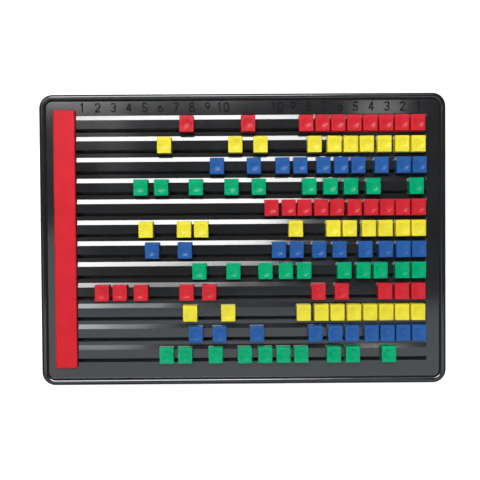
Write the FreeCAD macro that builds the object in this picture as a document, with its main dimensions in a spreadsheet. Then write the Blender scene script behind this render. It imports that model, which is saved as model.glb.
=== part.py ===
"""Twelve-row sliding-tile abacus, modelled piece by piece as a parametric FreeCAD document.

Frame: +X along the board's length towards the end where the tiles rest, +Y towards the numerals,
+Z out of the counting face. The origin is under the board's middle, on the surface it stands on.
Every driving size is a cell of the spreadsheet; every length is in millimetres.
"""
import FreeCAD, Part
import math
import os

import Sketcher

Vector = FreeCAD.Vector

# ---------------------------------------------------------------------------------------------
# Driving dimensions: alias, value, meaning
# ---------------------------------------------------------------------------------------------
SIZES = [
    ("board_length", 300.0, "outline along X"),
    ("board_width", 215.0, "outline along Y"),
    ("corner_radius", 10.0, "outline corners"),
    ("foot_height", 2.0, "how far the rubber feet stand out below the skirt"),
    ("skirt_wall", 2.2, "thickness of the outer wall"),
    ("plate_under", 9.1, "height of the plate's underside"),
    ("plate_top", 11.5, "height of the counting face"),
    ("rim_top", 13.2, "height of the rim's crest"),
    ("rim_crest", 4.2, "from the outline to the crest's inner edge"),
    ("rim_slope", 30.0, "inner slope of the rim, from the vertical, in degrees"),
    ("rim_outer_fillet", 2.0, "round of the rim's outer edge"),
    ("rim_inner_fillet", 3.0, "round of the rim's inner edge"),
    ("rim_foot_fillet", 0.25, "round where the rim meets the plate"),
    ("rib_relief", 1.5, "how far the ribs stop short of the skirt's lower edge"),
    ("cover_thickness", 1.4, "back cover, let into the skirt under the ribs"),
    ("cover_gap", 0.2, "back cover to skirt, all round"),
    ("cover_edge", 0.4, "round of the back cover's lower edge"),
    ("rib_thickness", 1.4, "ribs under the plate, one between each two rows"),
    ("row_count", 12, "rows of tiles"),
    ("row_pitch", 15.44, "spacing of the rows"),
    ("first_row", 85.75, "Y of the first row's centre"),
    ("slot_near", -3.70, "slot edge nearer the row's centre, from the row's centre"),
    ("slot_far", -6.45, "slot edge further from the row's centre"),
    ("slot_left", -127.0, "X where the slots start, under the end bar"),
    ("slot_right", 135.6, "X where the slots end"),
    ("ramp_near", 2.85, "where the ramped groove leaves the face, from the row's centre"),
    ("ramp_far", 6.30, "the ramped groove's upright wall, from the row's centre"),
    ("ramp_depth", 0.62, "the ramped groove's depth at its upright wall"),
    ("rib_line", 7.35, "middle of the rib above a row, from the row's centre"),
    ("gate_left", -137.2, "X where the loading gates start"),
    ("gate_right", -126.0, "X where the loading gates end"),
    ("gate_width", 4.5, "loading gate, across the slot"),
    ("numeral_line", 97.7, "Y of the numerals' middle"),
    ("numeral_height", 6.9, "height of a numeral"),
    ("numeral_width", 4.1, "width of a numeral"),
    ("numeral_stroke", 0.85, "width of a numeral's stroke"),
    ("numeral_relief", 0.5, "how far the numerals stand up"),
    ("numeral_root", 0.2, "how far the numerals are sunk into the plate, so that they join it"),
    ("ten_left", 2.75, "the 1 of a 10, left of the number's middle"),
    ("ten_right", 2.3, "the 0 of a 10, right of the number's middle"),
    ("numeral_pitch", 11.56, "spacing of the numerals"),
    ("numeral_left", -118.3, "X of the left scale's 1"),
    ("numeral_right", 129.6, "X of the right scale's 1"),
    ("bar_left", -139.3, "X of the end bar's outer side"),
    ("bar_right", -123.2, "X of the end bar's inner side, the tiles' left stop"),
    ("bar_low", -94.7, "Y of the end bar's lower end"),
    ("bar_high", 95.8, "Y of the end bar's upper end"),
    ("bar_height", 2.9, "the end bar above the plate"),
    ("bar_wall", 1.8, "the end bar's side walls"),
    ("bar_roof", 1.2, "the end bar's top wall"),
    ("bar_fillet", 1.1, "round of the end bar's edges"),
    ("screw_line", -131.5, "X of the end bar's screws"),
    ("screw_offset", 1.5, "screws above their row's centre"),
    ("screw_count", 4, "screws that hold the end bar"),
    ("screw_first_row", 2, "row of the first screw"),
    ("screw_row_step", 3, "rows from one screw to the next"),
    ("screw_radius", 1.1, "screw shank"),
    ("screw_length", 4.5, "screw under its head"),
    ("screw_head_radius", 2.4, "pan head"),
    ("screw_head_height", 1.7, "pan head"),
    ("screw_recess", 0.55, "half width of the cross recess's arms"),
    ("screw_recess_reach", 1.4, "half length of the cross recess's arms"),
    ("screw_recess_depth", 0.9, "depth of the cross recess"),
    ("screw_hole_radius", 1.4, "clearance hole in the plate"),
    ("boss_radius", 2.7, "screw boss inside the end bar"),
    ("bore_spare", 0.1, "bore of the boss beyond the screw's end"),
    ("foot_inset", 9.5, "foot centres from the outline"),
    ("foot_radius", 5.0, "rubber foot"),
    ("foot_edge", 0.5, "round of the foot's lower edge"),
    ("stud_radius", 1.9, "stud of the foot, pressed through the cover into its post"),
    ("stud_length", 5.0, "stud of the foot"),
    ("post_radius", 5.6, "corner post of the board"),
    ("socket_radius", 1.95, "socket in the post"),
    ("socket_depth", 4.0, "socket in the post"),
    ("tile_base_length", 10.8, "tile at its base, along X"),
    ("tile_base_width", 12.35, "tile at its base, along Y"),
    ("tile_face_length", 10.4, "tile at its face, along X"),
    ("tile_face_width", 11.95, "tile at its face, along Y"),
    ("tile_height", 6.1, "tile above its base"),
    ("tile_lift", 0.1, "running gap between tile and plate"),
    ("tile_offset", -0.95, "tile's middle from the row's centre, along Y"),
    ("tile_corner", 0.45, "round of the tile's upright edges"),
    ("tile_edge", 0.4, "round of the tile's face edges"),
    ("tile_roof", 1.5, "wall under the tile's face"),
    ("tile_wall", 1.2, "tile's side walls"),
    ("dimple_radius", 13.5, "sphere of the finger dimple"),
    ("dimple_depth", 0.59, "finger dimple at its middle"),
    ("stem_length", 10.4, "tile's stem in the slot, along X"),
    ("stem_gap", 0.2, "stem to slot, each side"),
    ("shoe_overlap", 0.7, "how far the shoe reaches under the plate, each side"),
    ("shoe_gap", 0.2, "shoe to the plate's underside"),
    ("shoe_thickness", 1.1, "the shoe under the plate"),
    ("lip_near", 3.60, "inner side of the lip that runs in the ramped groove, from the row's centre"),
    ("lip_far", 5.00, "outer side of the lip"),
    ("lip_root", 0.3, "how far the lip reaches up into the cap"),
]

# Where the tiles stand: for each row its colour and, from left to right, the X of each tile.
# Tiles that stand close together are one group, which is one sub-part and slides as one.
ROWS = [
    ("red", [[-41.0], [4.0], [46.5], [58.3, 69.9, 81.7, 93.3, 104.9, 116.5, 128.2]]),
    ("yellow", [[-57.5], [-5.5], [13.0], [52.5, 67.0, 79.0, 90.7, 103.6, 116.5, 128.4]]),
    ("blue", [[-19.0], [8.0], [29.0, 42.0], [59.0, 72.0, 84.5], [101.5], [117.6, 129.2]]),
    ("green", [[-75.0, -60.0], [-34.5], [-8.5], [11.5], [48.5, 64.0, 79.0], [95.5], [127.0]]),
    ("red", [[20.8, 33.4, 45.0, 57.2, 68.8, 81.6, 93.8, 105.4, 117.0, 128.6]]),
    ("yellow", [[-71.5], [-43.5, -31.0], [38.5], [66.0, 78.0, 92.0, 104.2, 116.9, 128.6]]),
    ("blue", [[-67.0], [-43.0], [26.0, 39.0], [55.5, 70.5], [89.5, 104.5, 117.3, 128.9]]),
    ("green", [[-32.5], [-7.5], [16.0, 31.0, 44.5], [74.0, 88.0, 100.5], [116.5, 128.6]]),
    ("red", [[-104.0, -91.0, -75.5], [-42.0], [-25.5], [55.0], [72.0], [103.8, 116.2, 128.2]]),
    ("yellow", [[-39.5], [-11.5], [44.0], [57.0, 68.8, 81.0, 92.8, 104.6, 116.3, 128.0]]),
    ("blue", [[-35.5], [-18.0], [9.5], [52.5, 67.0, 79.5, 93.8, 105.5, 117.1, 128.7]]),
    ("green", [[-57.0, -43.5], [-21.0], [0.5, 15.5, 29.0, 42.0], [66.0, 80.0], [106.5]]),
]

NEAR = 1e-3        # edges this close to a place are at it, mm
LEAST_CUT = 0.1    # a cut that takes away less than this missed the solid, mm3

doc = FreeCAD.newDocument("abacus")

# ---------------------------------------------------------------------------------------------
# Spreadsheet
# ---------------------------------------------------------------------------------------------
sheet = doc.addObject("Spreadsheet::Sheet", "Sizes")
for line, (alias, value, meaning) in enumerate(SIZES, start=1):
    sheet.set("A%d" % line, alias)
    sheet.set("B%d" % line, repr(value))
    sheet.set("C%d" % line, meaning)
    sheet.setAlias("B%d" % line, alias)
doc.recompute()


def size(alias):
    """Value of a cell, for geometry that is chosen or built in code."""
    return float(sheet.get(alias))


def cell(expression):
    """Turn words in {braces} into references to the sheet's cells."""
    return expression.replace("{", "Sizes.").replace("}", "")


def bind(target, **expressions):
    """Bind properties to expressions; two underscores stand for a dot."""
    for name, expression in expressions.items():
        target.setExpression(name.replace("__", "."), cell(expression))


# ---------------------------------------------------------------------------------------------
# Helpers for PartDesign bodies
# ---------------------------------------------------------------------------------------------
def new_body(label):
    body = doc.addObject("PartDesign::Body", label)
    body.Label = label
    return body


def origin_part(body, role):
    for feature in body.Origin.OriginFeatures:
        if feature.Role == role:
            return feature
    raise ValueError(role)


def new_sketch(body, name, plane="XY_Plane", height=None):
    """Sketch on one of the body's own planes, raised along the plane's normal by an expression."""
    sketch = body.newObject("Sketcher::SketchObject", name)
    sketch.AttachmentSupport = (origin_part(body, plane), [""])
    sketch.MapMode = "FlatFace"
    if height:
        sketch.setExpression(".AttachmentOffset.Base.z", cell(height))
    return sketch


def drive(sketch, kind, points, name, expression, value):
    """Add a driving constraint, by name, and bind it to an expression."""
    index = sketch.addConstraint(Sketcher.Constraint(kind, *points, value))
    sketch.renameConstraint(index, name)
    sketch.setExpression("Constraints." + name, cell(expression))


def polygon(sketch, corners):
    """Closed outline through corners given as pairs of expressions, each corner driven."""
    values = [(evaluate(x), evaluate(y)) for x, y in corners]
    first = sketch.GeometryCount
    total = len(corners)
    for index, (x, y) in enumerate(values):
        after_x, after_y = values[(index + 1) % total]
        sketch.addGeometry(Part.LineSegment(Vector(x, y, 0), Vector(after_x, after_y, 0)), False)
    for index in range(total):
        after = first + (index + 1) % total
        sketch.addConstraint(Sketcher.Constraint("Coincident", first + index, 2, after, 1))
    for index, (x, y) in enumerate(corners):
        point = (-1, 1, first + index, 1)
        tag = "%d_%d" % (first, index)
        drive(sketch, "DistanceX", point, "across" + tag, x, values[index][0])
        drive(sketch, "DistanceY", point, "up" + tag, y, values[index][1])


def evaluate(expression):
    """Value of an expression over the sheet's cells."""
    return float(sheet.evalExpression(expression.replace("{", "").replace("}", "")))


def rectangle(sketch, left, right, low, high):
    polygon(sketch, [(left, low), (right, low), (right, high), (left, high)])


def rounded_rectangle(sketch, half_length, half_width, radius):
    """Rectangle about the origin with tangent corner arcs, all three sizes driven."""
    x = evaluate(half_length)
    y = evaluate(half_width)
    r = evaluate(radius)
    corners = [(x, y, 0), (-x, y, 90), (-x, -y, 180), (x, -y, 270)]
    for corner_x, corner_y, start in corners:
        centre = Vector(corner_x - math.copysign(r, corner_x), corner_y - math.copysign(r, corner_y), 0)
        circle = Part.Circle(centre, Vector(0, 0, 1), r)
        arc = Part.ArcOfCircle(circle, math.radians(start), math.radians(start + 90))
        sketch.addGeometry(arc, False)
    for index in range(4):
        here = sketch.Geometry[index].EndPoint
        there = sketch.Geometry[(index + 1) % 4].StartPoint
        sketch.addGeometry(Part.LineSegment(here, there), False)
    for index in range(4):
        sketch.addConstraint(Sketcher.Constraint("Tangent", index, 2, 4 + index, 1))
        sketch.addConstraint(Sketcher.Constraint("Tangent", 4 + index, 2, (index + 1) % 4, 1))
    sketch.addConstraint(Sketcher.Constraint("Horizontal", 4))
    sketch.addConstraint(Sketcher.Constraint("Vertical", 5))
    for index in range(1, 4):
        sketch.addConstraint(Sketcher.Constraint("Equal", 0, index))
    drive(sketch, "Radius", (0,), "radius", radius, r)
    drive(sketch, "DistanceX", (-1, 1, 0, 1), "half_length", half_length, x)
    drive(sketch, "DistanceY", (-1, 1, 0, 2), "half_width", half_width, y)
    drive(sketch, "DistanceX", (2, 1, -1, 1), "other_half_length", half_length, x)
    drive(sketch, "DistanceY", (2, 2, -1, 1), "other_half_width", half_width, y)


def circle_at(sketch, across, up, radius):
    index = sketch.GeometryCount
    x = evaluate(across)
    y = evaluate(up)
    r = evaluate(radius)
    sketch.addGeometry(Part.Circle(Vector(x, y, 0), Vector(0, 0, 1), r), False)
    drive(sketch, "Radius", (index,), "radius%d" % index, radius, r)
    drive(sketch, "DistanceX", (-1, 1, index, 3), "across%d" % index, across, x)
    drive(sketch, "DistanceY", (-1, 1, index, 3), "up%d" % index, up, y)


def pad(body, sketch, name, length, reverse=False, middle=False):
    feature = body.newObject("PartDesign::Pad", name)
    feature.Profile = sketch
    feature.Reversed = reverse
    if middle:
        feature.Midplane = True
    feature.setExpression("Length", cell(length))
    doc.recompute()
    return feature


def pocket(body, sketch, name, length, reverse=False):
    """Cut; the volume is compared, because a cut that points away from the solid does nothing."""
    before = body.Shape.Volume
    feature = body.newObject("PartDesign::Pocket", name)
    feature.Profile = sketch
    feature.Reversed = reverse
    feature.setExpression("Length", cell(length))
    doc.recompute()
    if not body.Shape.Volume < before - LEAST_CUT:
        raise RuntimeError(name + " cuts nothing")
    return feature


def edges_where(shape, test):
    return ["Edge%d" % number for number, edge in enumerate(shape.Edges, start=1) if test(edge)]


def fillet(body, name, test, radius):
    base = body.Tip
    names = edges_where(base.Shape, test)
    if not names:
        raise RuntimeError(name + " finds no edge")
    feature = body.newObject("PartDesign::Fillet", name)
    feature.Base = (base, names)
    feature.setExpression("Radius", cell(radius))
    doc.recompute()
    return feature


def row_pattern(body, name, features, count="{row_count}", step="{row_pitch}"):
    """Repeat features down the rows, towards -Y."""
    pattern = body.newObject("PartDesign::LinearPattern", name)
    pattern.Originals = features
    pattern.Direction = (origin_part(body, "Y_Axis"), [""])
    pattern.Reversed = True
    pattern.setExpression("Occurrences", cell(count))
    pattern.setExpression("Length", cell("(%s - 1) * %s" % (count, step)))
    body.Tip = pattern
    doc.recompute()
    return pattern


def upright(edge):
    ends = [vertex.Point for vertex in edge.Vertexes]
    return len(ends) == 2 and math.hypot(ends[0].x - ends[1].x, ends[0].y - ends[1].y) < NEAR


def at_height(edge, height):
    box = edge.BoundBox
    return abs(box.ZMin - height) < NEAR and abs(box.ZMax - height) < NEAR


# ---------------------------------------------------------------------------------------------
# Board: one moulding with rim, plate, slots, ramped grooves, ribs and corner posts
# ---------------------------------------------------------------------------------------------
BAY_REACH = "({board_length} / 2 - {skirt_wall})"


def make_board_moulding():
    body = new_body("board_moulding")

    outline = new_sketch(body, "outline", height="{foot_height}")
    rounded_rectangle(outline, "{board_length} / 2", "{board_width} / 2", "{corner_radius}")
    pad(body, outline, "block", "{rim_top} - {foot_height}")

    recess = new_sketch(body, "recess_outline", height="{rim_top}")
    rounded_rectangle(recess, "{board_length} / 2 - {rim_crest}", "{board_width} / 2 - {rim_crest}",
                      "{corner_radius} - {rim_crest}")
    sunk = pocket(body, recess, "recess", "{rim_top} - {plate_top}")
    bind(sunk, TaperAngle="-{rim_slope}")
    doc.recompute()

    top = size("rim_top")
    crest = size("rim_crest")
    fillet(body, "rim_outer_round", lambda edge: at_height(edge, top) and on_outline(edge, 0.0),
           "{rim_outer_fillet}")
    fillet(body, "rim_inner_round", lambda edge: at_height(edge, top) and on_outline(edge, crest),
           "{rim_inner_fillet}")
    fillet(body, "rim_foot_round", lambda edge: at_height(edge, size("plate_top")),
           "{rim_foot_fillet}")

    relief = new_sketch(body, "relief_outline", height="{foot_height}")
    rounded_rectangle(relief, "{board_length} / 2 - {skirt_wall}", "{board_width} / 2 - {skirt_wall}",
                      "{corner_radius} - {skirt_wall}")
    pocket(body, relief, "relief", "{rib_relief}", reverse=True)

    deep = "{foot_height} + {rib_relief}"
    bay_height = "{plate_under} - {foot_height} - {rib_relief}"
    rib = "{first_row} + {rib_line}"
    bay = new_sketch(body, "row_bay_outline", height=deep)
    rectangle(bay, "-" + BAY_REACH, BAY_REACH, rib + " - {row_pitch} + {rib_thickness} / 2",
              rib + " - {rib_thickness} / 2")
    row_bay = pocket(body, bay, "row_bay", bay_height, reverse=True)
    row_pattern(body, "row_bays", [row_bay])

    upper = new_sketch(body, "upper_bay_outline", height=deep)
    end_bay(upper, "", rib + " + {rib_thickness} / 2")
    pocket(body, upper, "upper_bay", bay_height, reverse=True)
    lower = new_sketch(body, "lower_bay_outline", height=deep)
    end_bay(lower, "-", rib + " - {row_count} * {row_pitch} - {rib_thickness} / 2")
    pocket(body, lower, "lower_bay", bay_height, reverse=True)

    slot = new_sketch(body, "slot_outline", height="{plate_top}")
    rectangle(slot, "{slot_left}", "{slot_right}", "{first_row} + {slot_far}",
              "{first_row} + {slot_near}")
    slot_cut = pocket(body, slot, "slot", "{plate_top} - {plate_under}")
    gate = new_sketch(body, "gate_outline", height="{plate_top}")
    slot_middle = "{first_row} + ({slot_near} + {slot_far}) / 2"
    rectangle(gate, "{gate_left}", "{gate_right}", slot_middle + " - {gate_width} / 2",
              slot_middle + " + {gate_width} / 2")
    gate_cut = pocket(body, gate, "gate", "{plate_top} - {plate_under}")
    ramp = new_sketch(body, "ramp_outline", plane="YZ_Plane", height="{gate_left}")
    polygon(ramp, [("{first_row} + {ramp_near}", "{plate_top}"),
                   ("{first_row} + {ramp_far}", "{plate_top} - {ramp_depth}"),
                   ("{first_row} + {ramp_far}", "{plate_top}")])
    ramp_cut = pocket(body, ramp, "ramp", "{slot_right} - {gate_left}", reverse=True)
    row_pattern(body, "slots", [slot_cut, gate_cut, ramp_cut])

    hole = new_sketch(body, "screw_hole_outline", height="{plate_top}")
    circle_at(hole, "{screw_line}", first_screw_y(), "{screw_hole_radius}")
    hole_cut = pocket(body, hole, "screw_hole", "{plate_top} - {plate_under}")
    row_pattern(body, "screw_holes", [hole_cut], "{screw_count}", "{screw_row_step} * {row_pitch}")

    posts = new_sketch(body, "post_outlines", height=deep)
    four_circles(posts, "{post_radius}")
    pad(body, posts, "posts", bay_height)
    sockets = new_sketch(body, "socket_outlines", height=deep)
    four_circles(sockets, "{socket_radius}")
    pocket(body, sockets, "sockets", "{socket_depth}", reverse=True)
    return body


def on_outline(edge, inset):
    """True for an edge that runs along the board's outline, moved in by the inset."""
    box = edge.BoundBox
    long_way = max(abs(box.XMin), abs(box.XMax)) - size("board_length") / 2 + inset
    wide_way = max(abs(box.YMin), abs(box.YMax)) - size("board_width") / 2 + inset
    return abs(max(long_way, wide_way)) < NEAR


def end_bay(sketch, side, near):
    """Bay between an outermost rib and the skirt, its corners cut to clear the skirt's round."""
    straight = side + "({board_width} / 2 - {corner_radius})"
    far = side + "({board_width} / 2 - {skirt_wall})"
    cut = "({board_length} / 2 - {corner_radius})"
    polygon(sketch, [("-" + BAY_REACH, near), (BAY_REACH, near), (BAY_REACH, straight), (cut, far),
                     ("-" + cut, far), ("-" + BAY_REACH, straight)])


def four_circles(sketch, radius):
    """One circle at each foot."""
    for side_x in ("", "-"):
        for side_y in ("", "-"):
            circle_at(sketch, side_x + "({board_length} / 2 - {foot_inset})",
                      side_y + "({board_width} / 2 - {foot_inset})", radius)


def first_screw_y():
    return "{first_row} - ({screw_first_row} - 1) * {row_pitch} + {screw_offset}"


# ---------------------------------------------------------------------------------------------
# Numerals: two scales, 1 to 10 from the left and 10 to 1 towards the right
# ---------------------------------------------------------------------------------------------
def stroke_line(start, end, width, low, high):
    """Upright bar with round ends along a straight centre line."""
    along = end - start
    across = Vector(-along.y, along.x, 0).normalize() * (width / 2)
    corners = [start + across, end + across, end - across, start - across]
    face = Part.Face(Part.makePolygon(corners + corners[:1]))
    bar = face.extrude(Vector(0, 0, high - low))
    bar.translate(Vector(0, 0, low))
    return [bar] + [stroke_end(point, width, low, high) for point in (start, end)]


def stroke_end(point, width, low, high):
    return Part.makeCylinder(width / 2, high - low, Vector(point.x, point.y, low))


def stroke_arc(centre, radius, start, end, width, low, high):
    """Upright bar with round ends along an arc, angles in degrees."""
    sweep = end - start
    base = Vector(centre.x, centre.y, low)
    outer = Part.makeCylinder(radius + width / 2, high - low, base, Vector(0, 0, 1), sweep)
    inner = Part.makeCylinder(radius - width / 2, high - low, base, Vector(0, 0, 1), sweep)
    bar = outer.cut(inner)
    bar.rotate(base, Vector(0, 0, 1), start)
    pieces = [bar]
    if sweep < 360:
        for angle in (start, end):
            turn = math.radians(angle)
            point = centre + Vector(math.cos(turn), math.sin(turn), 0) * radius
            pieces.append(stroke_end(point, width, low, high))
    return pieces


def numeral_strokes(digit, width, height):
    """Centre lines of a digit in a box about the origin: lines (two points) or arcs."""
    x = width / 2
    y = height / 2
    bowl = width / 2
    small = 0.44 * height / 2
    if digit == "0":
        return [("arc", (0, y - bowl), bowl, 0, 180), ("arc", (0, bowl - y), bowl, 180, 360),
                ("line", (-x, bowl - y), (-x, y - bowl)), ("line", (x, bowl - y), (x, y - bowl))]
    if digit == "1":
        return [("line", (0.2 * x, -y), (0.2 * x, y)), ("line", (0.2 * x, y), (-0.6 * x, 0.62 * y))]
    if digit == "2":
        return [("arc", (0, y - bowl), bowl, -35, 165), ("line", (-x, -y), (x, -y)),
                ("line", (0.82 * x, y - 1.57 * bowl), (-x, -y))]
    if digit == "3":
        upper = 0.5 * y
        return [("arc", (0, y - upper), upper, -90, 150), ("arc", (0, upper - y), upper, -150, 90)]
    if digit == "4":
        return [("line", (0.45 * x, -y), (0.45 * x, y)), ("line", (0.45 * x, y), (-x, -0.4 * y)),
                ("line", (-x, -0.4 * y), (x, -0.4 * y))]
    if digit == "5":
        return [("line", (0.85 * x, y), (-0.7 * x, y)), ("line", (-0.7 * x, y), (-0.8 * x, 0.12 * y)),
                ("arc", (-0.05 * x, bowl - y), bowl, -150, 130)]
    if digit == "6":
        return [("arc", (0, bowl - y), bowl, 0, 360), ("arc", (x, bowl - y), 2 * bowl, 122, 180)]
    if digit == "7":
        return [("line", (-x, y), (x, y)), ("line", (x, y), (-0.35 * x, -y))]
    if digit == "8":
        return [("arc", (0, y - small), small, 0, 360),
                ("arc", (0, y - 2 * small - (height - 2 * small) / 2), (height - 2 * small) / 2, 0, 360)]
    if digit == "9":
        return [("arc", (0, y - bowl), bowl, 0, 360), ("arc", (-x, y - bowl), 2 * bowl, -58, 0)]
    raise ValueError(digit)


def make_digit(digit, middle_x):
    """Solids of one raised digit, sunk a little into the plate so that it joins it."""
    stroke = size("numeral_stroke")
    width = size("numeral_width") - stroke
    height = size("numeral_height") - stroke
    low = size("plate_top") - size("numeral_root")
    high = size("plate_top") + size("numeral_relief")
    middle = Vector(middle_x, size("numeral_line"), 0)
    solids = []
    for kind, *values in numeral_strokes(digit, width, height):
        if kind == "line":
            start, end = (middle + Vector(*point, 0) for point in values)
            solids += stroke_line(start, end, stroke, low, high)
        else:
            centre, radius, start, end = values
            solids += stroke_arc(middle + Vector(*centre, 0), radius, start, end, stroke, low, high)
    return solids[0].multiFuse(solids[1:]).removeSplitter()


def make_numerals():
    pitch = size("numeral_pitch")
    shapes = []
    for number in range(1, 11):
        for middle in (size("numeral_left") + (number - 1) * pitch,
                       size("numeral_right") - (number - 1) * pitch):
            if number < 10:
                shapes.append(make_digit(str(number), middle))
            else:
                shapes.append(make_digit("1", middle - size("ten_left")))
                shapes.append(make_digit("0", middle + size("ten_right")))
    numerals = doc.addObject("Part::Feature", "numerals")
    numerals.Shape = Part.makeCompound(shapes)
    return numerals


# ---------------------------------------------------------------------------------------------
# Back cover, end bar with its screws, and feet
# ---------------------------------------------------------------------------------------------
def make_back_cover():
    """Flat cover let into the skirt; the feet's studs hold it against the posts."""
    body = new_body("back_cover")
    outline = new_sketch(body, "cover_outline", height="{foot_height}")
    inset = " - {skirt_wall} - {cover_gap}"
    rounded_rectangle(outline, "{board_length} / 2" + inset, "{board_width} / 2" + inset,
                      "{corner_radius}" + inset)
    pad(body, outline, "cover", "{cover_thickness}")
    low = size("foot_height")
    fillet(body, "cover_round", lambda edge: at_height(edge, low), "{cover_edge}")
    holes = new_sketch(body, "stud_hole_outlines", height="{foot_height}")
    four_circles(holes, "{socket_radius}")
    pocket(body, holes, "stud_holes", "{cover_thickness}", reverse=True)
    return body


def make_end_bar():
    """Hollow bar over the loading gates, with a boss for each screw."""
    body = new_body("end_bar")
    outline = new_sketch(body, "bar_outline", height="{plate_top}")
    rectangle(outline, "{bar_left}", "{bar_right}", "{bar_low}", "{bar_high}")
    pad(body, outline, "bar_block", "{bar_height}")
    fillet(body, "bar_corner_round", upright, "{bar_fillet}")
    top = size("plate_top") + size("bar_height")
    fillet(body, "bar_top_round", lambda edge: at_height(edge, top), "{bar_fillet}")
    hollow = new_sketch(body, "bar_hollow_outline", height="{plate_top}")
    rectangle(hollow, "{bar_left} + {bar_wall}", "{bar_right} - {bar_wall}", "{bar_low} + {bar_wall}",
              "{bar_high} - {bar_wall}")
    pocket(body, hollow, "bar_hollow", "{bar_height} - {bar_roof}", reverse=True)
    boss = new_sketch(body, "boss_outline", height="{plate_top}")
    circle_at(boss, "{screw_line}", first_screw_y(), "{boss_radius}")
    boss_pad = pad(body, boss, "boss", "{bar_height} - {bar_roof} / 2")
    bore = new_sketch(body, "boss_bore_outline", height="{plate_top}")
    circle_at(bore, "{screw_line}", first_screw_y(), "{screw_radius}")
    bore_cut = pocket(body, bore, "boss_bore",
                      "{screw_length} - {plate_top} + {plate_under} + {bore_spare}", reverse=True)
    row_pattern(body, "bosses", [boss_pad, bore_cut], "{screw_count}",
                "{screw_row_step} * {row_pitch}")
    return body


def make_bar_screws():
    """Pan-head screws with a cross recess, driven up through the plate into the bosses."""
    body = new_body("bar_screws")
    shank = new_sketch(body, "shank_outline", height="{plate_under}")
    circle_at(shank, "{screw_line}", first_screw_y(), "{screw_radius}")
    shank_pad = pad(body, shank, "shank", "{screw_length}")
    head = new_sketch(body, "head_outline", height="{plate_under}")
    circle_at(head, "{screw_line}", first_screw_y(), "{screw_head_radius}")
    head_pad = pad(body, head, "head", "{screw_head_height}", reverse=True)
    under = size("plate_under") - size("screw_head_height")
    fillet(body, "head_round", lambda edge: at_height(edge, under), "{screw_head_height} / 2")
    cuts = []
    for name, across, along in (("recess_across", "{screw_recess_reach}", "{screw_recess}"),
                                ("recess_along", "{screw_recess}", "{screw_recess_reach}")):
        arm = new_sketch(body, name + "_outline", height="{plate_under} - {screw_head_height}")
        rectangle(arm, "{screw_line} - " + across, "{screw_line} + " + across,
                  first_screw_y() + " - " + along, first_screw_y() + " + " + along)
        cuts.append(pocket(body, arm, name, "{screw_recess_depth}", reverse=True))
    return body, [shank_pad, head_pad] + cuts


def make_foot():
    """Round rubber foot with a stud that is pressed into its post."""
    body = new_body("foot")
    disc = new_sketch(body, "foot_disc_outline")
    circle_at(disc, "0", "0", "{foot_radius}")
    pad(body, disc, "foot_disc", "{foot_height}")
    stud = new_sketch(body, "foot_stud_outline", height="{foot_height}")
    circle_at(stud, "0", "0", "{stud_radius}")
    pad(body, stud, "foot_stud", "{stud_length}")
    fillet(body, "foot_round", lambda edge: at_height(edge, 0.0), "{foot_edge}")
    return body


# ---------------------------------------------------------------------------------------------
# Tile: cap with a finger dimple, a lip in the ramped groove and a shoe under the plate
# ---------------------------------------------------------------------------------------------
def make_tile():
    """One tile about its own middle, with its base at height 0."""
    body = new_body("tile")
    cap = body.newObject("PartDesign::AdditiveWedge", "tile_cap")
    cap.Placement = FreeCAD.Placement(Vector(0, 0, 0), FreeCAD.Rotation(Vector(1, 0, 0), 90))
    for name, expression in (("Ymin", "0"), ("Ymax", "{tile_height}"),
                             ("Xmin", "-{tile_base_length} / 2"), ("Xmax", "{tile_base_length} / 2"),
                             ("Zmin", "-{tile_base_width} / 2"), ("Zmax", "{tile_base_width} / 2"),
                             ("X2min", "-{tile_face_length} / 2"), ("X2max", "{tile_face_length} / 2"),
                             ("Z2min", "-{tile_face_width} / 2"), ("Z2max", "{tile_face_width} / 2")):
        cap.setExpression(name, cell(expression))
    doc.recompute()
    rise = size("tile_height")
    fillet(body, "tile_corner_round",
           lambda edge: abs(edge.BoundBox.ZLength - rise) < 1e-4, "{tile_corner}")
    fillet(body, "tile_edge_round", lambda edge: at_height(edge, rise), "{tile_edge}")

    hollow = new_sketch(body, "tile_hollow_outline")
    stem_low = "({slot_far} + {stem_gap} - {tile_offset})"
    stem_high = "({slot_near} - {stem_gap} - {tile_offset})"
    rectangle(hollow, "{tile_wall} - {tile_face_length} / 2", "{tile_face_length} / 2 - {tile_wall}",
              stem_high, "{tile_face_width} / 2 - {tile_wall}")
    pocket(body, hollow, "tile_hollow", "{tile_height} - {tile_roof}", reverse=True)

    deep = "{plate_top} + {tile_lift} - {plate_under} + {shoe_gap}"
    stem = new_sketch(body, "stem_outline")
    rectangle(stem, "-{stem_length} / 2", "{stem_length} / 2", stem_low, stem_high)
    pad(body, stem, "stem", deep, reverse=True)
    shoe = new_sketch(body, "shoe_outline", height="-(" + deep + ")")
    rectangle(shoe, "-{stem_length} / 2", "{stem_length} / 2",
              "{slot_far} - {shoe_overlap} - {tile_offset}", "{slot_near} + {shoe_overlap} - {tile_offset}")
    pad(body, shoe, "shoe", "{shoe_thickness}", reverse=True)

    slope = "{ramp_depth} / ({ramp_far} - {ramp_near})"
    lip_low = "{lip_near} - {tile_offset}"
    lip_high = "{lip_far} - {tile_offset}"
    lip = new_sketch(body, "lip_outline", plane="YZ_Plane")
    polygon(lip, [(lip_low, "{lip_root}"), (lip_low, "-({lip_near} - {ramp_near}) * " + slope),
                  (lip_high, "-({lip_far} - {ramp_near}) * " + slope), (lip_high, "{lip_root}")])
    pad(body, lip, "lip", "{tile_face_length}", middle=True)

    ball = doc.addObject("Part::Sphere", "dimple_ball")
    bind(ball, Radius="{dimple_radius}",
         Placement__Base__z="{tile_height} - {dimple_depth} + {dimple_radius}")
    tile = doc.addObject("Part::Cut", "dimpled_tile")
    tile.Base = body
    tile.Tool = ball
    doc.recompute()
    return tile


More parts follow.
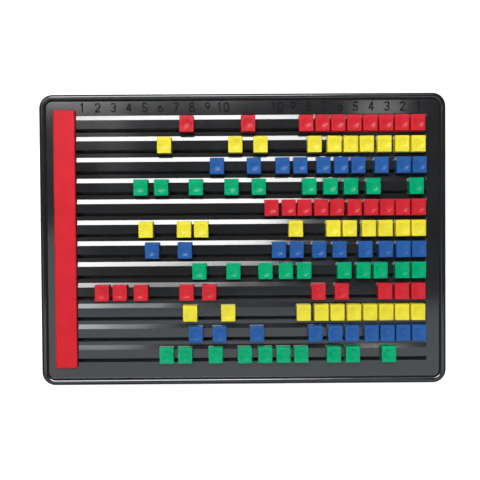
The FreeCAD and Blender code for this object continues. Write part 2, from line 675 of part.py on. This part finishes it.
def make_tile_group(tile, row, colour, number, places):
    """Neighbouring tiles of a row: one compound of links to the tile, each at its place."""
    links = []
    for index, place in enumerate(places, start=1):
        link = doc.addObject("App::Link", "row_%02d_%s_%d_%d" % (row, colour, number, index))
        link.LinkedObject = tile
        link.Placement = FreeCAD.Placement(Vector(place, 0, 0), FreeCAD.Rotation())
        bind(link, Placement__Base__y="{first_row} - %d * {row_pitch} + {tile_offset}" % (row - 1),
             Placement__Base__z="{plate_top} + {tile_lift}")
        links.append(link)
    group = doc.addObject("Part::Compound", "row_%02d_%s_tiles_%d" % (row, colour, number))
    group.Links = links
    group.Label = group.Name
    return group


# ---------------------------------------------------------------------------------------------
# Assembly
# ---------------------------------------------------------------------------------------------
moulding = make_board_moulding()
numerals = make_numerals()
board = doc.addObject("Part::MultiFuse", "board")
board.Shapes = [moulding, numerals]
board.Label = "board"

back_cover = make_back_cover()
end_bar = make_end_bar()

screw, screw_features = make_bar_screws()
row_pattern(screw, "screws", screw_features, "{screw_count}", "{screw_row_step} * {row_pitch}")

foot = make_foot()
foot_links = []
for side_x in (-1, 1):
    for side_y in (-1, 1):
        link = doc.addObject("App::Link", "foot_at_%d" % (len(foot_links) + 1))
        link.LinkedObject = foot
        bind(link, Placement__Base__x="%d * ({board_length} / 2 - {foot_inset})" % side_x,
             Placement__Base__y="%d * ({board_width} / 2 - {foot_inset})" % side_y)
        foot_links.append(link)
rubber_feet = doc.addObject("Part::Compound", "rubber_feet")
rubber_feet.Links = foot_links
rubber_feet.Label = "rubber_feet"

tile = make_tile()
tile_groups = []
for row, (colour, groups) in enumerate(ROWS, start=1):
    for number, places in enumerate(groups, start=1):
        tile_groups.append(make_tile_group(tile, row, colour, number, places))

doc.recompute()

# ---------------------------------------------------------------------------------------------
# Checks and export
# ---------------------------------------------------------------------------------------------
for item in doc.Objects:
    if "Invalid" in item.State or "Error" in item.State:
        raise RuntimeError("%s failed: %s" % (item.Name, item.State))

os.makedirs("parts", exist_ok=True)
for node in [board, back_cover, end_bar, screw, rubber_feet] + tile_groups:
    shape = node.Shape
    if shape.isNull() or not shape.isValid():
        raise RuntimeError(node.Label + " has no valid shape")
    shape.exportStep("parts/%s.step" % node.Label)
    print("%-26s solids %2d  volume %9.1f" % (node.Label, len(shape.Solids), shape.Volume))
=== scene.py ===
"""Looks of the sliding-tile abacus: materials, floor, studio light and camera around the CAD frame.

Frame: +X along the board towards the tiles' resting end, +Y towards the numerals, +Z out of the
counting face, the origin under the board's middle. All lengths are in metres, angles in degrees.
"""

import math

import bpy
from mathutils import Matrix, Vector


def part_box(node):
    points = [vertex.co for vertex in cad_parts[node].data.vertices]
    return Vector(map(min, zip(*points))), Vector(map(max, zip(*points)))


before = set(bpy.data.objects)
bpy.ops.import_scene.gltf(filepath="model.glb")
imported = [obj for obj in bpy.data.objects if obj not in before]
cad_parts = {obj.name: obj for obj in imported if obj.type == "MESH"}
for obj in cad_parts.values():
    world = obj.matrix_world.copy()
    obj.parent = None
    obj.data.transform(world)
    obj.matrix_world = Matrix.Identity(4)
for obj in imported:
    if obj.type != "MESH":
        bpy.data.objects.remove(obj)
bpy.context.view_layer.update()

# ---------------------------------------------------------------------------------------------
# Sizes read from the frame
# ---------------------------------------------------------------------------------------------
PLATE_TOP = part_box("end_bar")[0].z

# Box around the tops of the raised numerals: X, Y and Z from and to.
NUMERAL_BOX = ((-0.138, 0.138), (0.0935, 0.1022), (PLATE_TOP + 0.0003, PLATE_TOP + 0.0010))

# ---------------------------------------------------------------------------------------------
# Colours, linear red, green, blue
# ---------------------------------------------------------------------------------------------
BOARD_BLACK = (0.020, 0.0205, 0.0225)
COVER_GREY = (0.10, 0.10, 0.105)
BAR_RED = (0.76, 0.022, 0.036)
TILE_COLOURS = {
    "red": (0.74, 0.026, 0.040),
    "yellow": (1.00, 0.86, 0.052),
    "blue": (0.026, 0.124, 0.41),
    "green": (0.000, 0.45, 0.19),
}
STEEL = (0.60, 0.60, 0.62)
RUBBER = (0.022, 0.022, 0.023)
FLOOR_WHITE = (0.92, 0.92, 0.92)

# ---------------------------------------------------------------------------------------------
# Surfaces
# ---------------------------------------------------------------------------------------------
NOISE_RANGE = (0.3, 0.7)         # where most of a noise value lies
SLOPE_RANGE = (0.08, 0.14)       # Y of the normal: less on level faces, more on groove slopes
BOARD_IOR = 1.54
TILE_IOR = 1.49
FACE_GLOSS = 0.5                 # reflection of the level faces
SLOPE_GLOSS = 1.0                # reflection of the groove slopes
TILE_GLOSS = 0.15
TILE_ROUGHNESS = 0.22
BAR_GLOSS = 0.1
BAR_ROUGHNESS = 0.45
NUMERAL_ROUGHNESS = 0.45
NUMERAL_PAINTED_SHADE = 0.3             # painted shade: colour of the numerals, darkened to a part of the face's colour to stand for the reflection they lack
NUMERAL_GLOSS = 0.12             # reflection of the numerals, as a part of the face's
RUBBER_ROUGHNESS = 0.82

# ---------------------------------------------------------------------------------------------
# Floor, camera and lights
# ---------------------------------------------------------------------------------------------
FLOOR_SIZE = 6.0
FLOOR_HEIGHT = -0.0001
FLOOR_ROUGHNESS = 0.9
FLOOR_GLOW = 0.85

CAMERA_HEIGHT = 0.5366           # above the plate
CAMERA_PLACE = (-0.0044, 0.0110)
CAMERA_AIM = (-0.0025, -0.0005)  # point of the plate in the middle of the picture
CAMERA_LENS = 54.375             # mm, on a sensor as wide as the next value
CAMERA_SENSOR = 36.0             # mm
CAMERA_NEAR_LIMIT = 0.01
CAMERA_UP = (0.0068, 1.0, 0.0)

NEAR_BOXES = 1.2                 # height above the plate
FAR_BOXES = 12.0

# Soft boxes: middle in X and Y, size along X and Y, turn, brightness, height.
SOFT_BOXES = {
    "window": ((-0.245, 0.575), (0.59, 0.45), 9.0, 11.5, NEAR_BOXES),
    "window_corner": ((0.07, 0.62), (0.354, 0.30), 45.0, 10.0, NEAR_BOXES),
    "hot_spot": ((0.04, 0.70), (0.30, 0.16), 0.0, 16.0, NEAR_BOXES),
    "above_window": ((0.15, 0.98), (0.90, 0.30), 0.0, 3.0, NEAR_BOXES),
    "apron": ((0.0, 0.36), (0.20, 0.09), 15.0, 2.5, NEAR_BOXES),
    "left_wall_low": ((-0.56, -0.17), (0.30, 0.34), 0.0, 1.5, NEAR_BOXES),
    "left_wall_high": ((-0.56, 0.17), (0.30, 0.34), 0.0, 0.1, NEAR_BOXES),
    "front": ((0.0, -0.50), (1.4, 0.64), 0.0, 1.4, NEAR_BOXES),
    "left_patch": ((-2.17, 1.75), (0.36, 0.80), 0.0, 1.5, FAR_BOXES),
    "left_patch_low": ((-2.12, 1.10), (0.40, 0.50), 0.0, 1.0, FAR_BOXES),
    "right_patch": ((2.45, 2.00), (0.80, 0.35), 0.0, 5.5, FAR_BOXES),
    "far_edge": ((-2.85, 2.98), (1.0, 1.45), 0.0, 5.0, FAR_BOXES),
    "far_patch": ((-2.07, 2.85), (0.87, 1.46), 0.0, 2.3, FAR_BOXES),
    "far_strip": ((-1.05, 3.47), (1.2, 0.42), 0.0, 4.0, FAR_BOXES),
    "far_streak": ((-1.45, 2.88), (0.42, 0.22), 45.0, 5.0, FAR_BOXES),
}
FRONT_TINT = (0.90, 1.0, 1.06)
WALLS = 0.35                     # brightness of the studio walls
CEILING = 0.04                   # brightness of the ceiling
CEILING_EDGE = (0.2, 0.6)        # Z of the view direction where the walls end and the ceiling starts


# ---------------------------------------------------------------------------------------------
# Building blocks of the materials
# ---------------------------------------------------------------------------------------------
def new_material(name):
    """New material, its node tree and the tree's one shader."""
    material = bpy.data.materials.new(name)
    material.use_nodes = True
    tree = material.node_tree
    tree.nodes.clear()
    output = tree.nodes.new("ShaderNodeOutputMaterial")
    shader = tree.nodes.new("ShaderNodeBsdfPrincipled")
    tree.links.new(shader.outputs["BSDF"], output.inputs["Surface"])
    return material, tree, shader


def add(tree, kind, **values):
    """New node with its named inputs or properties set."""
    node = tree.nodes.new(kind)
    for name, value in values.items():
        if name in node.inputs:
            node.inputs[name].default_value = value
        else:
            setattr(node, name, value)
    return node


def noise(tree, scale, detail=3.0, roughness=0.5, stretch=(1, 1, 1)):
    """Noise over the object's own coordinates, which stay with a piece when it slides."""
    place = tree.nodes.new("ShaderNodeTexCoord")
    mapping = add(tree, "ShaderNodeMapping", Scale=stretch)
    tree.links.new(place.outputs["Object"], mapping.inputs["Vector"])
    texture = add(tree, "ShaderNodeTexNoise", Scale=scale, Detail=detail, Roughness=roughness)
    tree.links.new(mapping.outputs["Vector"], texture.inputs["Vector"])
    return texture.outputs["Fac"]


def spread(tree, source, low, high, source_range=NOISE_RANGE):
    """Map a range of a value, such as a noise, to another range."""
    node = tree.nodes.new("ShaderNodeMapRange")
    node.inputs["From Min"].default_value, node.inputs["From Max"].default_value = source_range
    node.inputs["To Min"].default_value = low
    node.inputs["To Max"].default_value = high
    tree.links.new(source, node.inputs["Value"])
    return node.outputs["Result"]


def by_mask(tree, mask, outside, inside):
    """One number where the mask is zero, the other where it is one."""
    return spread(tree, mask, outside, inside, (0.0, 1.0))


def combine(tree, operation, first, second):
    """One value made from two, such as their product or the larger one."""
    node = add(tree, "ShaderNodeMath", operation=operation)
    tree.links.new(first, node.inputs[0])
    tree.links.new(second, node.inputs[1])
    return node.outputs["Value"]


def shade(tree, colour, factor):
    """The colour, multiplied by a factor that varies over the surface."""
    node = add(tree, "ShaderNodeVectorMath", operation="SCALE")
    node.inputs[0].default_value = colour
    tree.links.new(factor, node.inputs["Scale"])
    return node.outputs["Vector"]


def bump(tree, shader, layers):
    """Stack of bumps, each a height source with its depth in metres."""
    last = None
    for source, depth in layers:
        node = add(tree, "ShaderNodeBump", Strength=1.0, Distance=depth)
        tree.links.new(source, node.inputs["Height"])
        if last:
            tree.links.new(last, node.inputs["Normal"])
        last = node.outputs["Normal"]
    tree.links.new(last, shader.inputs["Normal"])


def coordinates(tree, kind):
    """The X, Y and Z sockets of one kind of texture coordinate."""
    place = tree.nodes.new("ShaderNodeTexCoord")
    parts = tree.nodes.new("ShaderNodeSeparateXYZ")
    tree.links.new(place.outputs[kind], parts.inputs["Vector"])
    return parts.outputs


def towards_numerals(tree):
    """One on faces that lean towards the numerals, such as the groove slopes, and zero on level ones."""
    return spread(tree, coordinates(tree, "Normal")["Y"], 0.0, 1.0, SLOPE_RANGE)


def on_numerals(tree):
    """One on the tops of the raised numerals, zero on the face and the rim around them."""
    place = coordinates(tree, "Object")
    inside = None
    for axis, (low, high) in zip("XYZ", NUMERAL_BOX):
        between = add(tree, "ShaderNodeMath", operation="COMPARE")
        tree.links.new(place[axis], between.inputs[0])
        between.inputs[1].default_value = (low + high) / 2
        between.inputs[2].default_value = (high - low) / 2
        if inside:
            inside = combine(tree, "MULTIPLY", inside, between.outputs["Value"])
        else:
            inside = between.outputs["Value"]
    return inside


# ---------------------------------------------------------------------------------------------
# Materials
# ---------------------------------------------------------------------------------------------
def board_plastic():
    """Glossy black moulding: polished groove slopes, matt numerals darkened with painted shade, fine
    grain, slight flow waves.
    """
    material, tree, shader = new_material("board_black")
    smudge = noise(tree, 22.0, 4.0, 0.6)
    matt_and_shaded_numerals = on_numerals(tree)
    # random tone from the smudge noise, times painted shade that darkens the numerals' colour to stand
    # for their missing reflection
    tone_and_painted_shade = combine(tree, "MULTIPLY", spread(tree, smudge, 0.85, 1.2),
                       by_mask(tree, matt_and_shaded_numerals, 1.0, NUMERAL_PAINTED_SHADE))
    tree.links.new(shade(tree, BOARD_BLACK, tone_and_painted_shade), shader.inputs["Base Color"])
    roughness = combine(tree, "MAXIMUM", spread(tree, smudge, 0.09, 0.13),
                        by_mask(tree, matt_and_shaded_numerals, 0.0, NUMERAL_ROUGHNESS))
    tree.links.new(roughness, shader.inputs["Roughness"])
    gloss = combine(tree, "MULTIPLY", by_mask(tree, towards_numerals(tree), FACE_GLOSS, SLOPE_GLOSS),
                    by_mask(tree, matt_and_shaded_numerals, 1.0, NUMERAL_GLOSS))
    tree.links.new(gloss, shader.inputs["Specular IOR Level"])
    shader.inputs["IOR"].default_value = BOARD_IOR
    grain = noise(tree, 1400.0, 2.0)
    waves = noise(tree, 16.0, 1.0, 0.4, (0.5, 1.0, 1.0))
    bump(tree, shader, [(waves, 0.00008), (grain, 0.0000015)])
    return material


def coloured_plastic(name, colour, roughness=TILE_ROUGHNESS, gloss=TILE_GLOSS):
    """Moulded coloured plastic: satin gloss, fine grain, small differences from tile to tile."""
    material, tree, shader = new_material(name)
    drift = noise(tree, 70.0, 1.0)
    tree.links.new(shade(tree, colour, spread(tree, drift, 0.93, 1.05)), shader.inputs["Base Color"])
    cloud = noise(tree, 320.0, 3.0, 0.6)
    tree.links.new(spread(tree, cloud, roughness - 0.05, roughness + 0.06), shader.inputs["Roughness"])
    shader.inputs["IOR"].default_value = TILE_IOR
    shader.inputs["Specular IOR Level"].default_value = gloss
    grain = noise(tree, 3200.0, 2.0)
    bump(tree, shader, [(cloud, 0.000006), (grain, 0.000003)])
    return material


def cover_sheet():
    """Matt dark grey sheet with a fine leathery grain."""
    material, tree, shader = new_material("cover_grey")
    grain = noise(tree, 700.0, 4.0, 0.6)
    tree.links.new(shade(tree, COVER_GREY, spread(tree, grain, 0.8, 1.25)), shader.inputs["Base Color"])
    tree.links.new(spread(tree, grain, 0.55, 0.7), shader.inputs["Roughness"])
    bump(tree, shader, [(grain, 0.00002)])
    return material


def screw_steel():
    """Zinc-plated steel with a fine turned grain."""
    material, tree, shader = new_material("screw_steel")
    shader.inputs["Metallic"].default_value = 1.0
    grain = noise(tree, 1800.0, 3.0, 0.6, (1.0, 6.0, 1.0))
    tree.links.new(shade(tree, STEEL, spread(tree, grain, 0.8, 1.1)), shader.inputs["Base Color"])
    tree.links.new(spread(tree, grain, 0.24, 0.42), shader.inputs["Roughness"])
    bump(tree, shader, [(grain, 0.000008)])
    return material


def foot_rubber():
    """Matte black rubber with a powdery grain."""
    material, tree, shader = new_material("foot_rubber")
    grain = noise(tree, 900.0, 4.0, 0.65)
    tree.links.new(shade(tree, RUBBER, spread(tree, grain, 0.7, 1.5)), shader.inputs["Base Color"])
    shader.inputs["Roughness"].default_value = RUBBER_ROUGHNESS
    bump(tree, shader, [(grain, 0.00003)])
    return material


def dress(node, material):
    """Give a CAD node one material."""
    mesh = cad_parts[node].data
    mesh.materials.clear()
    mesh.materials.append(material)


def dress_nodes():
    """Give every CAD node its material."""
    tiles = {name: coloured_plastic("tile_" + name, colour) for name, colour in TILE_COLOURS.items()}
    dress("board", board_plastic())
    dress("back_cover", cover_sheet())
    dress("end_bar", coloured_plastic("bar_red", BAR_RED, BAR_ROUGHNESS, BAR_GLOSS))
    dress("bar_screws", screw_steel())
    dress("rubber_feet", foot_rubber())
    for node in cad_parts:
        for name, material in tiles.items():
            if node.startswith("row_") and "_%s_tiles" % name in node:
                dress(node, material)


# ---------------------------------------------------------------------------------------------
# Studio
# ---------------------------------------------------------------------------------------------
def make_floor():
    """Pale floor just under the feet."""
    bpy.ops.mesh.primitive_plane_add(size=FLOOR_SIZE, location=(0, 0, FLOOR_HEIGHT))
    floor = bpy.context.object
    floor.name = "floor"
    material, _, shader = new_material("floor_white")
    shader.inputs["Base Color"].default_value = (*FLOOR_WHITE, 1.0)
    shader.inputs["Roughness"].default_value = FLOOR_ROUGHNESS
    shader.inputs["Emission Color"].default_value = (1.0, 1.0, 1.0, 1.0)
    shader.inputs["Emission Strength"].default_value = FLOOR_GLOW
    floor.data.materials.append(material)


def make_lights():
    """Soft boxes that face down."""
    for name, (middle, extent, turn, brightness, height) in SOFT_BOXES.items():
        data = bpy.data.lights.new(name, "AREA")
        data.shape = "RECTANGLE"
        data.size, data.size_y = extent
        data.energy = brightness * math.pi * data.size * data.size_y
        if name == "front":
            data.color = FRONT_TINT
        light = bpy.data.objects.new(name, data)
        light.location = (*middle, PLATE_TOP + height)
        light.rotation_euler.z = math.radians(turn)
        bpy.context.scene.collection.objects.link(light)


def make_surroundings():
    """Studio whose walls are brighter than its ceiling."""
    world = bpy.data.worlds.new("studio")
    world.use_nodes = True
    tree = world.node_tree
    strength = spread(tree, coordinates(tree, "Generated")["Z"], WALLS, CEILING, CEILING_EDGE)
    tree.links.new(strength, tree.nodes["Background"].inputs["Strength"])
    bpy.context.scene.world = world


def make_camera():
    """Camera above the counting face, at the pictured angle."""
    data = bpy.data.cameras.new("camera")
    data.lens = CAMERA_LENS
    data.sensor_width = CAMERA_SENSOR
    data.clip_start = CAMERA_NEAR_LIMIT
    camera = bpy.data.objects.new("camera", data)
    place = Vector((*CAMERA_PLACE, PLATE_TOP + CAMERA_HEIGHT))
    aim = Vector((*CAMERA_AIM, PLATE_TOP))
    back = (place - aim).normalized()
    right = Vector(CAMERA_UP).cross(back).normalized()
    up = back.cross(right)
    turn = Matrix((right, up, back)).transposed()
    camera.matrix_world = Matrix.Translation(place) @ turn.to_4x4()
    bpy.context.scene.collection.objects.link(camera)
    bpy.context.scene.camera = camera


dress_nodes()
make_floor()
make_lights()
make_surroundings()
make_camera()
bpy.context.scene.view_settings.view_transform = "Standard"
